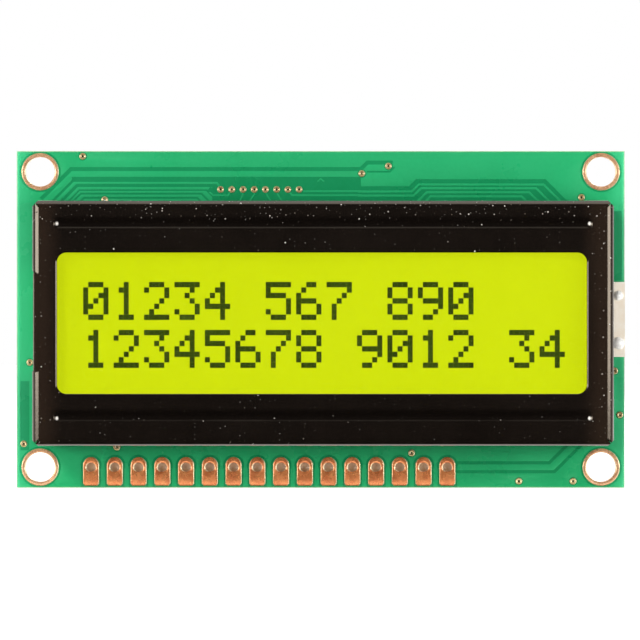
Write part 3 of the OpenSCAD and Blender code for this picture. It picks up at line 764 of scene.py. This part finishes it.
def pad_edge(angle):
    """Distance from a pin hole's centre to the pad's edge: straight sides under a round arch."""
    c, s = math.cos(angle), math.sin(angle)
    side = pad_half / max(1e-6, abs(c))
    rise = pad_arch * s
    reach = rise + math.sqrt(max(0.0, rise * rise - pad_arch ** 2 + pad_half ** 2))
    if reach * s < pad_arch:
        reach = side
    if s < 0:
        reach = min(reach, pad_foot / s)
    return reach


def lands(name, node, places, outline, material, hole_r, funnel, shoulder, thick):
    """The lands of one kind on both faces, at each of the places."""
    parts = []
    for side in (1, -1):
        base = board.h1 if side > 0 else board.h0
        model = land(name + "_model", outline, hole_r, funnel, shoulder, base, base + side * thick)
        parts.append(copies(name + "_part", model, places, material))
    new_piece(name, join_meshes(name, parts), material, [node], smooth=50)


lands("pin_lands", "header_pads", PINS, pad_edge, COPPER,
      hole_r=pin_r - plating, funnel=0.27, shoulder=0.16, thick=0.13)
lands("mounting_lands", "mounting_hole_rings", HOLES, lambda angle: ring_r, RING,
      hole_r=mount_r - plating, funnel=0.16, shoulder=0.14, thick=0.09)
lands("via_lands", "vias", VIAS, lambda angle: via_r, VIA,
      hole_r=via_hole_r - plating, funnel=0.15, shoulder=0.1, thick=0.1)


def flux_films():
    """Painted shade in the pin holes: a dull brown dished sheet just inside each one closes it."""
    rings, sunk, rise, film_t = 5, 0.3, 0.16, 0.04
    bm = bmesh.new()
    loops = [ring(bm, circle(0, 0, (pin_r - plating - 0.001) * k / rings, 24),
                  board.h1 - sunk + rise * (k / rings) ** 2) for k in range(1, rings + 1)]
    fan(bm, bm.verts.new(place(0, 0, board.h1 - sunk)), loops[0])
    bridge(bm, loops)
    grown = bmesh.ops.extrude_face_region(bm, geom=bm.faces[:])
    bmesh.ops.translate(bm, verts=new_corners(grown), vec=(0, film_t * MM, 0))
    return copies("flux_films", to_mesh(bm, "hole_shade_model"), PINS, HOLE_SHADE)


new_piece("flux_films", flux_films(), HOLE_SHADE)


# ---------------------------------------------------------------- bezel

def steps(start, stop, size):
    """Places from start to just before stop, evenly spaced at about the given size."""
    count = max(1, round((stop - start) / size))
    return [start + (stop - start) * i / count for i in range(count)]


def sheet_lines(low, high, zones):
    """Grid lines across the folded sheet, as (place, drop below the face, turn of the fold).

    zones are (stop, spacing) of the flat between the folds, each from where the last stopped."""
    wall_steps, fold_steps = 4, 12
    wall_h = face_h - foot_h

    def fold(edge, inwards):
        """Lines up one wall and round its fold."""
        lines = [(edge, wall_h - (wall_h - fold_r) * k / wall_steps, 1.0)
                 for k in range(wall_steps)]
        for k in range(fold_steps, 0, -1):
            a = math.pi / 2 * k / fold_steps
            lines.append((edge + inwards * fold_r * (1 - math.sin(a)),
                          fold_r * (1 - math.cos(a)), k / fold_steps))
        return lines

    lines, start = fold(low, 1), low + fold_r
    for stop, spacing in zones:
        lines += [(at, 0.0, 0.0) for at in steps(start, stop, spacing)]
        start = stop
    return lines + [(start, 0.0, 0.0)] + fold(high, -1)[::-1]


def groove_drop(x, z):
    """Depth of the two pressed grooves at a point of the face."""
    drop, end_steepness = 0.0, 1.7
    for gz in groove_zs:
        dx = max(groove_x0 - x, x - groove_x1, 0.0)
        d = math.hypot(end_steepness * dx, z - gz)
        if d < groove_w:
            drop = max(drop, groove_depth * 0.5 * (1 + math.cos(math.pi * d / groove_w)))
    return drop


def window_drop(x, z):
    """Rolled-in edge of the face round the window."""
    width, depth = 0.28, 0.13
    qx = abs(x - (window_x0 + window_x1) / 2) - (window_x1 - window_x0) / 2 + window_r
    qz = abs(z - (window_z0 + window_z1) / 2) - (window_z1 - window_z0) / 2 + window_r
    d = math.hypot(max(qx, 0), max(qz, 0)) + min(max(qx, qz), 0) - window_r
    if d >= width:
        return 0.0
    share = 1 - max(0.0, d) / width
    return depth * (1 - math.sqrt(max(0.0, 1 - share * share)))


def bezel_skin():
    """The outside of the folded sheet as a grid, with grooves, rolled window and left lip."""
    fine, lip_fine, medium, wide = 0.07, 0.12, 0.3, 1.0
    near_groove, outside, inside, lip_blend = 0.9, 0.4, 1.1, 0.05
    wave_depth, wave_scale = 0.004, 0.16
    columns = sheet_lines(bezel_x0, bezel_x1, [
        (bezel_x0 + 1.6, medium), (bezel_x0 + 3.8, fine), (bezel_x1 - 4.0, wide),
        (bezel_x1 - 1.6, fine), (bezel_x1 - fold_r, medium)])
    rows = sheet_lines(bezel_z0, bezel_z1, [
        (groove_zs[1] - near_groove, medium), (groove_zs[1] + near_groove, fine),
        (window_z0 - outside, medium), (window_z0 + inside, fine),
        (lip_z0 - 0.3, medium), (lip_z0 + 0.3, lip_fine),
        (lip_z1 - 0.2, wide), (lip_z1 + 1.0, lip_fine),
        (window_z1 - inside, medium), (window_z1 + outside, fine),
        (groove_zs[0] - near_groove, medium), (groove_zs[0] + near_groove, fine),
        (bezel_z1 - fold_r, medium)])
    bm = bmesh.new()
    grid = []
    for z, row_drop, _ in rows:
        opened = ramp(z, lip_z0 - lip_blend, lip_z0 + lip_blend)
        opened *= 1 - ramp(z, lip_z1, lip_z1 + lip_fade)
        opened = opened * opened * (3 - 2 * opened)
        line = []
        for x, column_drop, turn in columns:
            drop = max(row_drop, column_drop)
            if not drop:
                drop = groove_drop(x, z) + window_drop(x, z)
                drop += wave_depth * (1 + noise.noise(Vector((x, z, 0.3)) * wave_scale))
            if opened and x < bezel_x0 + fold_r and not row_drop:
                flat_x = bezel_x0 + fold_r - (fold_r - lip_edge) * turn
                x += (flat_x - x) * opened
                drop *= 1 - opened
            line.append(bm.verts.new(place(x, z, face_h - drop)))
        grid.append(line)
    wall_columns = [i for i, (x, drop, _) in enumerate(columns) if x == bezel_x0 and drop > fold_r]
    for r in range(len(rows) - 1):
        middle = (rows[r][0] + rows[r + 1][0]) / 2
        in_lip = lip_z0 - lip_blend < middle < lip_z1 + lip_fade
        for c in range(len(columns) - 1):
            if in_lip and c in wall_columns:
                continue
            bm.faces.new((grid[r][c], grid[r][c + 1], grid[r + 1][c + 1], grid[r + 1][c]))
    bmesh.ops.remove_doubles(bm, verts=bm.verts, dist=1e-7)
    bmesh.ops.recalc_face_normals(bm, faces=bm.faces)
    bm.faces.ensure_lookup_table()
    if bm.faces[len(bm.faces) // 2].normal.y > 0:
        bmesh.ops.reverse_faces(bm, faces=bm.faces)
    mesh = bpy.data.meshes.new("bezel_skin")
    bm.to_mesh(mesh)
    bm.free()
    return mesh


def lip_roll():
    """The rounded cut edge along the left lip."""
    r, overlap = 0.12, 0.04
    quarter = [math.pi / 2 * k / 6 for k in range(7)]
    side = [(lip_edge + overlap, 0.0)]
    side += [(lip_edge - r * math.sin(a), r * (1 - math.cos(a))) for a in quarter]
    side += [(lip_edge - r, sheet_t), (lip_edge + overlap, sheet_t)]
    bm = bmesh.new()
    ends = [[bm.verts.new(place(bezel_x0 + x, z, face_h - drop)) for x, drop in side]
            for z in (lip_z0 - 0.02, lip_z1 + 0.25)]
    bridge(bm, ends)
    bm.faces.new(ends[0])
    bm.faces.new(ends[1][::-1])
    return to_mesh(bm, "lip_roll")


def bezel_cutters():
    """What is cut from the sheet: window, corner reliefs, mitre slits and the slot for the tab."""
    low, high = board.h0, face_h + 1
    cutters = [plate("window_cut", [rounded_rect(window_x0, window_z0, window_x1, window_z1,
                                                 window_r, 16)], [], face_h - 1, high)]
    relief, slit, inner = 0.62, 0.035, 0.74
    for cx, sx in ((bezel_x0, 1), (bezel_x1, -1)):
        for cz, sz in ((bezel_z0, 1), (bezel_z1, -1)):
            corner = [(cx - sx, cz - sz), (cx + sx * (relief + 1), cz - sz),
                      (cx - sx, cz + sz * (relief + 1))]
            tip = (cx + sx * inner, cz + sz * inner)
            cut = ribbon([(cx - sx, cz - sz), tip], 2 * slit)
            cutters.append(plate("corner_cut", [corner, cut], [], low, high))
    slot = rect(bezel_x1 - fold_r, light_tab_z0 - light_tab_gap,
                bezel_x1 + 1, light_tab_z1 + light_tab_gap)
    cutters.append(plate("slot_cut", [slot], [], low, light.h1 + light_tab_gap))
    return join_meshes("bezel_cuts", cutters)


def twisted_tab(x, z, along_x):
    """A fixing tab: straight through the board and twisted behind it to hold the bezel."""
    half_w, half_t, cut = tab_w / 2, sheet_t / 2, 0.06
    outline = [(half_w - cut, -half_t), (half_w, -half_t + cut), (half_w, half_t - cut),
               (half_w - cut, half_t), (-half_w + cut, half_t), (-half_w, half_t - cut),
               (-half_w, -half_t + cut), (-half_w + cut, -half_t)]
    twist_h = 0.7
    levels = [foot_h + 0.4, board.h1, 0.05, -0.1, -0.25, -0.4, -0.55, -twist_h, -1.0,
              -tab_reach + 0.05, -tab_reach]
    bm = bmesh.new()
    loops = []
    for h in levels:
        angle = math.radians(tab_twist * ramp(-h, 0, twist_h) + (0 if along_x else 90))
        shrink = 0.96 if h == -tab_reach else 1.0
        c, s = math.cos(angle) * shrink, math.sin(angle) * shrink
        loops.append(ring(bm, [(x + u * c - v * s, z + u * s + v * c) for u, v in outline], h))
    bridge(bm, loops)
    bm.faces.new(loops[0])
    bm.faces.new(loops[-1][::-1])
    return to_mesh(bm, "tab")


def bezel():
    """The folded sheet with its cuts, its lip and its ten fixing tabs."""
    skin = scratch("bezel_sheet", bezel_skin())
    thick = skin.modifiers.new("sheet", "SOLIDIFY")
    thick.thickness = sheet_t * MM
    thick.offset = -1
    thick.use_even_offset = True
    thick.use_quality_normals = True
    sheet = scratch("bezel_solid", evaluated(skin))
    cuts = scratch("bezel_cuts", bezel_cutters())
    cut = sheet.modifiers.new("cuts", "BOOLEAN")
    cut.operation = "DIFFERENCE"
    cut.solver = "EXACT"
    cut.use_self = True
    cut.object = cuts
    parts = [evaluated(sheet), lip_roll()]
    bpy.data.objects.remove(cuts)
    side = sheet_t / 2
    for x in (bezel_x0 + tab_inset_x, (bezel_x0 + bezel_x1) / 2, bezel_x1 - tab_inset_x):
        parts += [twisted_tab(x, z, True) for z in (bezel_z0 + side, bezel_z1 - side)]
    for z in (bezel_z0 + tab_inset_z, bezel_z1 - tab_inset_z):
        parts += [twisted_tab(x, z, False) for x in (bezel_x0 + side, bezel_x1 - side)]
    mesh = join_meshes("bezel_mesh", parts)
    new_piece("folded_bezel", mesh, ENAMEL, ["bezel"], smooth=35)


bezel()


# ---------------------------------------------------------------- display

DIGITS = {
    "0": "01110 10001 10011 10101 11001 10001 01110",
    "1": "00100 01100 00100 00100 00100 00100 01110",
    "2": "01110 10001 00001 00010 00100 01000 11111",
    "3": "11111 00010 00100 00010 00001 10001 01110",
    "4": "00010 00110 01010 10010 11111 00010 00010",
    "5": "11111 10000 11110 00001 00001 10001 01110",
    "6": "00110 01000 10000 11110 10001 10001 01110",
    "7": "11111 00001 00010 00100 01000 01000 01000",
    "8": "01110 10001 10001 01110 10001 10001 01110",
    "9": "01110 10001 10001 01111 00001 00010 01100",
}
ROWS = ("01234 567 890", "12345678 9012 34")


def display_dots():
    """The switched dots of both rows."""
    places = []
    for text, top in zip(ROWS, text_tops):
        for i, letter in enumerate(text):
            left = text_x0 + i * character_pitch
            for row, bits in enumerate(DIGITS.get(letter, "").split()):
                places += [(left + (column + 0.5) * dot_w, top - (row + 0.5) * dot_h)
                           for column, bit in enumerate(bits) if bit == "1"]
    model = plate("dot", [rect(-0.5, -0.5, 0.5, 0.5)], [], layer_h, layer_h + dot_t)
    return copies("display_dots", model, places, DOTS, (dot_w - dot_gap, 1.0, dot_h - dot_gap))


new_piece("display_dots", display_dots(), DOTS)
new_piece("display_layer",
          plate("layer", [rect(cell.x0, cell.z0, cell.x1, cell.z1)], [], cell.h0 + 0.002, layer_h),
          DISPLAY, ["liquid_crystal"])
new_piece("polarizer_film",
          plate("film", [rounded_rect(film.x0, film.z0, film.x1, film.z1, 0.3)], [],
                film.h0 + 0.005, film.h1, 0.02),
          FILM, ["front_polarizer"])


# ---------------------------------------------------------------- solder, resin and chips

def dome(name, x, z, h, radius, height, side, wobble, seed):
    """A poured dome with a slightly uneven outline. side is 1 on the front and -1 behind."""
    rings, sides = 14, 48
    bm = bmesh.new()
    loops = []
    for k in range(1, rings + 1):
        t = k / rings
        rise = height * (1 - t * t) ** 0.75
        loop = []
        for i in range(sides):
            a = 2 * math.pi * i / sides
            drift = noise.noise(Vector((math.cos(a), math.sin(a), seed)))
            r = radius * t * (1 - wobble * (0.5 + drift) * t)
            lump = 1 + 0.5 * wobble * noise.noise(Vector((r * math.cos(a), r * math.sin(a), seed)))
            loop.append(bm.verts.new(place(x + r * math.cos(a), z + r * math.sin(a),
                                           h + side * rise * lump)))
        loops.append(loop)
    fan(bm, bm.verts.new(place(x, z, h + side * height)), loops[0])
    bridge(bm, loops)
    fan(bm, bm.verts.new(place(x, z, h)), loops[-1][::-1])
    return to_mesh(bm, name)


for name, node, z, front_r, seed in (("anode_dome", "anode_solder", terminal_z, 0.55, 1.7),
                                     ("cathode_dome", "cathode_solder", -terminal_z, 0.69, 4.2)):
    joint = join_meshes(name, [
        dome(name, terminal_x, z, light.h1, front_r, height=0.39, side=1, wobble=0.08, seed=seed),
        dome(name, terminal_x, z, board.h0 - copper_t, 0.54, height=0.38, side=-1, wobble=0.08,
             seed=seed + 1)])
    new_piece(name, joint, SOLDER_PAINTED_GLARE, [node])

for name, node, cap_d, seed in (("controller_cap", "controller_resin", 12.0, 2.5),
                                ("driver_cap", "driver_resin", 10.5, 7.1)):
    cap = Box(node)
    pour = dome(name, cap.x, cap.z, board.h0 - 0.02, cap_d / 2, height=1.24, side=-1, wobble=0.06,
                seed=seed)
    new_piece(name, pour, RESIN, [node], smooth=60)


def softened(node, name, width, material):
    """A fixed part's own shape with its edges rounded."""
    source = frame["nodes"][node]
    bm = bmesh.new()
    bm.from_mesh(source.data)
    bmesh.ops.remove_doubles(bm, verts=bm.verts, dist=1e-7)
    bmesh.ops.dissolve_limit(bm, angle_limit=0.02, verts=bm.verts, edges=bm.edges)
    sharp = [e for e in bm.edges if e.is_manifold and e.calc_face_angle(0) > 0.5]
    bmesh.ops.bevel(bm, geom=sharp, offset=width * MM, segments=2, profile=0.5,
                    affect="EDGES", clamp_overlap=True)
    new_piece(name, to_mesh(bm, name), material, [node])


softened("chip_resistors", "resistor_bodies", 0.04, OVERGLAZE)
softened("chip_capacitors", "capacitor_bodies", 0.06, CERAMIC)
softened("chip_end_caps", "component_ends", 0.05, SOLDER_PAINTED_GLARE)
softened("chip_solder", "component_solder", 0.03, SOLDER_PAINTED_GLARE)


# ---------------------------------------------------------------- back of the board

def back_copper():
    """Tracks behind the board, laid out by rule, and the ground area round its edge."""
    pin_spread, link_spread, top_spread = 0.72, 0.62, 1.15
    under_cap = 5.4
    tracks = []
    controller, driver = Box("controller_resin"), Box("driver_resin")
    # from the header to the controller
    for i, (x, z) in enumerate(PINS[2:14]):
        off = i - 5.5
        level, x_end = -13.2 + 0.42 * abs(off), controller.x + off * pin_spread
        z_end = -math.sqrt(max(1.0, under_cap ** 2 - (off * pin_spread) ** 2))
        path = [(x, z + 1.2), (x, level), (x_end, level + 0.001), (x_end, z_end)]
        tracks.append(ribbon(path, 0.22))
    # from the controller to the driver
    for i in range(-4, 5):
        z = i * link_spread
        tracks.append(ribbon([(controller.x1 - 1.4, z), (driver.x0 + 1.3, z)], 0.24))
    # from both chips up to the display's contacts
    for cap, spread in ((controller, 0.55), (driver, 0.5)):
        reach = (cap.x1 - cap.x0) / 2 - 0.8
        for i in range(-7, 8):
            x, top = cap.x + i * spread, cap.x + i * top_spread
            rise = math.sqrt(max(0.5, reach ** 2 - (i * spread) ** 2))
            tracks.append(ribbon([(x, rise), (x, rise + 0.8), (top, 8.6), (top, 10.6)], 0.2))
    border = rect(board.x0 + 0.4, board.z0 + 0.4, board.x1 - 0.4, board.z1 - 0.4)
    inside = rounded_rect(board.x0 + 3.0, board.z0 + 4.8, board.x1 - 3.2, board.z1 - 5.2, 1.0)
    halos = [circle(x, z, ring_r + 0.25, 40) for x, z in HOLES]
    halos += [rect(x - 1.05, board.z0 + 0.3, x + 1.05, z + 1.3) for x, z in PINS]
    low = board.h0 - back_mask_t
    ground = plate("ground", [border], halos + [inside], low, board.h0)
    lines = plate("lines", tracks, [circle(x, z, 1.3, 24) for x, z in PINS], low, board.h0)
    return join_meshes("back_copper", [ground, lines])


def digits(text, x, z, height):
    """A plain number for the back, mirrored so that it reads from behind."""
    curve = bpy.data.curves.new("number", "FONT")
    curve.body = text
    curve.size = height
    curve.align_x = "CENTER"
    obj = scratch("number", curve)
    bpy.context.view_layer.update()
    mesh = evaluated(obj)
    for v in mesh.vertices:
        v.co = place(x - v.co.x, z + v.co.y, ink_h + ink_t)
    return mesh


def back_ink():
    """White ink on the back: rings round the domes, pin numbers and terminal numbers."""
    ring_gap, line_w = 0.55, 0.2
    rings, holes = [], []
    for node in ("controller_resin", "driver_resin"):
        cap = Box(node)
        inner_r = (cap.x1 - cap.x0) / 2 + ring_gap
        rings.append(circle(cap.x, cap.z, inner_r + line_w, 72))
        holes.append(circle(cap.x, cap.z, inner_r, 72))
    parts = [plate("rings", rings, holes, ink_h, ink_h + ink_t)]
    for text, x in (("1", pin_first), ("16", pin_last)):
        parts.append(digits(text, x, pin_z + 1.6, 1.5))
    for text, z in (("2", -terminal_z), ("1", terminal_z)):
        parts.append(digits(text, terminal_x - 2.2, z - 0.5, 1.3))
    return join_meshes("back_ink", parts)


new_piece("back_copper", back_copper(), MASK_COPPER)
new_piece("back_ink", back_ink(), INK)


# ---------------------------------------------------------------- fixed parts that keep their shape

for node, material in {
        "board": MASK_BARE, "terminal_lands": COPPER, "upper_contacts": COPPER,
        "lower_contacts": COPPER, "front_glass": GLASS, "rear_glass": GLASS, "edge_seal": EPOXY,
        "fill_port_plug": EPOXY, "rear_polarizer": MILKY, "upper_elastomer_strip": RUBBER,
        "lower_elastomer_strip": RUBBER, "light_diffuser": MILKY,
        "reflector_frame": WHITE_PLASTIC, "backlight_leds": DIE, "backlight_board": BEIGE,
        "anode_pin": TINNED, "cathode_pin": TINNED, "controller_chip": SILICON,
        "driver_chip": SILICON}.items():
    data = frame["nodes"][node].data
    data.materials.clear()
    data.materials.append(material)


# ---------------------------------------------------------------- camera, lamps and floor

def camera():
    """Level with the module and straight in front of it, far enough off to look flat. across is
    how much of the board's face the frame takes in, in metres."""
    distance, across, aim_x, aim_z = 0.56, 0.06845, -0.00007, -0.00006
    data = bpy.data.cameras.new("camera")
    data.sensor_width = 36
    data.lens = data.sensor_width * distance / across
    data.clip_start = 0.01
    obj = bpy.data.objects.new("camera", data)
    obj.location = (aim_x, -distance - board.h1 * MM, aim_z)
    obj.rotation_euler = (math.radians(90), 0, 0)
    bpy.context.scene.collection.objects.link(obj)
    bpy.context.scene.camera = obj


def lamp(name, azimuth, elevation, distance, width, height, share, mirrored=True):
    """A soft lamp aimed at the module. Azimuth is from straight in front towards the right.
    share is how bright it makes a white surface that faces the viewer."""
    a, e = math.radians(azimuth), math.radians(elevation)
    way = Vector((math.sin(a) * math.cos(e), -math.cos(a) * math.cos(e), math.sin(e)))
    data = bpy.data.lights.new(name, "AREA")
    data.shape = "RECTANGLE"
    data.size, data.size_y = width, height
    data.energy = share * math.pi ** 2 * distance ** 2 / max(0.2, -way.y)
    obj = bpy.data.objects.new(name, data)
    obj.location = way * distance
    obj.rotation_euler = (-way).to_track_quat("-Z", "Y").to_euler()
    obj.visible_camera = False
    obj.visible_glossy = mirrored
    bpy.context.scene.collection.objects.link(obj)


def surroundings():
    """White behind the module, dark behind the camera, and a soft even light on matt surfaces."""
    world = bpy.data.worlds.new("studio")
    bpy.context.scene.world = world
    world.use_nodes = True
    kit = Nodes(world.node_tree)
    way = kit.add("ShaderNodeTexCoord").outputs["Generated"]
    behind = kit.span(kit.axis("Y", way), -0.1, 0.5)
    above = kit.span(kit.axis("Z", way), 0.9, 1.0, 0.0, 1.8)
    ambient, dark = 0.16, 0.03
    mirrored = kit.math("ADD", kit.math("MAXIMUM", behind, above), dark - ambient)
    level = kit.math("ADD", kit.math("MULTIPLY", kit.shiny_ray(), mirrored), ambient)
    back = world.node_tree.nodes["Background"]
    kit.set(back, "Color", (1, 1, 1, 1))
    kit.set(back, "Strength", kit.math("MAXIMUM", level, kit.ray("Camera")))


def floor():
    """A white floor that keeps only the module's shadow. It is clear from below. Mirrored in
    the module it is dark in front, with a bright strip under the bezel for its lower edge."""
    size, drop = 1.5, 0.00002
    mesh = bpy.data.meshes.new("floor")
    z = board.z0 * MM - drop
    mesh.from_pydata([(x, y, z) for x, y in rect(-size, -size, size, size)], [], [(0, 1, 2, 3)])
    obj = scratch("floor", mesh)
    m = Material("floor_white", Base_Color=(0.9, 0.9, 0.9, 1), Roughness=0.9,
                 Specular_IOR_Level=0.0)
    place_y, shiny = m.axis("Y"), m.shiny_ray()
    behind = m.span(place_y, -0.004, 0.02)
    hidden = m.math("MULTIPLY", shiny, m.math("SUBTRACT", 1.0, behind))
    seen = m.math("MAXIMUM", m.ray("Camera"), shiny)
    glow = m.add("ShaderNodeEmission", Color=(1, 1, 1, 1), Strength=m.math("MULTIPLY", seen, 0.88))
    lit = m.add("ShaderNodeAddShader", i0=m.shader.outputs["BSDF"], i1=glow.outputs["Emission"])
    dark = m.add("ShaderNodeEmission", Color=(0.02, 0.02, 0.02, 1))
    strip = m.math("MULTIPLY", m.span(place_y, -0.0085, -0.0075),
                   m.span(place_y, -0.003, -0.002, 1.0, 0.0))
    m.set(dark, "Strength", m.math("ADD", 1.0, m.math("MULTIPLY", strip, 100.0)))
    shown = m.add("ShaderNodeMixShader", i0=hidden, i1=lit.outputs["Shader"],
                  i2=dark.outputs["Emission"])
    clear = m.add("ShaderNodeBsdfTransparent")
    back = m.add("ShaderNodeNewGeometry").outputs["Backfacing"]
    mixed = m.add("ShaderNodeMixShader", i0=back, i1=shown.outputs["Shader"],
                  i2=clear.outputs["BSDF"])
    m.set(m.output, "Surface", mixed.outputs["Shader"])
    mesh.materials.append(m.material)


camera()
lamp("key_lamp", -33, 26, 0.6, 0.16, 0.1, 0.34, mirrored=False)
lamp("left_near_lamp", -60, -12, 0.11, 0.05, 0.06, 0.17, mirrored=False)
lamp("right_near_lamp", 62, -8, 0.11, 0.05, 0.06, 0.28, mirrored=False)
lamp("left_lamp", -50, 3, 0.42, 0.38, 0.14, 0.42)
lamp("right_lamp", 48, -1, 0.42, 0.34, 0.14, 0.34)
lamp("back_lamp", 155, 28, 0.6, 0.3, 0.2, 0.1)
surroundings()
floor()

bpy.context.scene.view_settings.view_transform = "Standard"
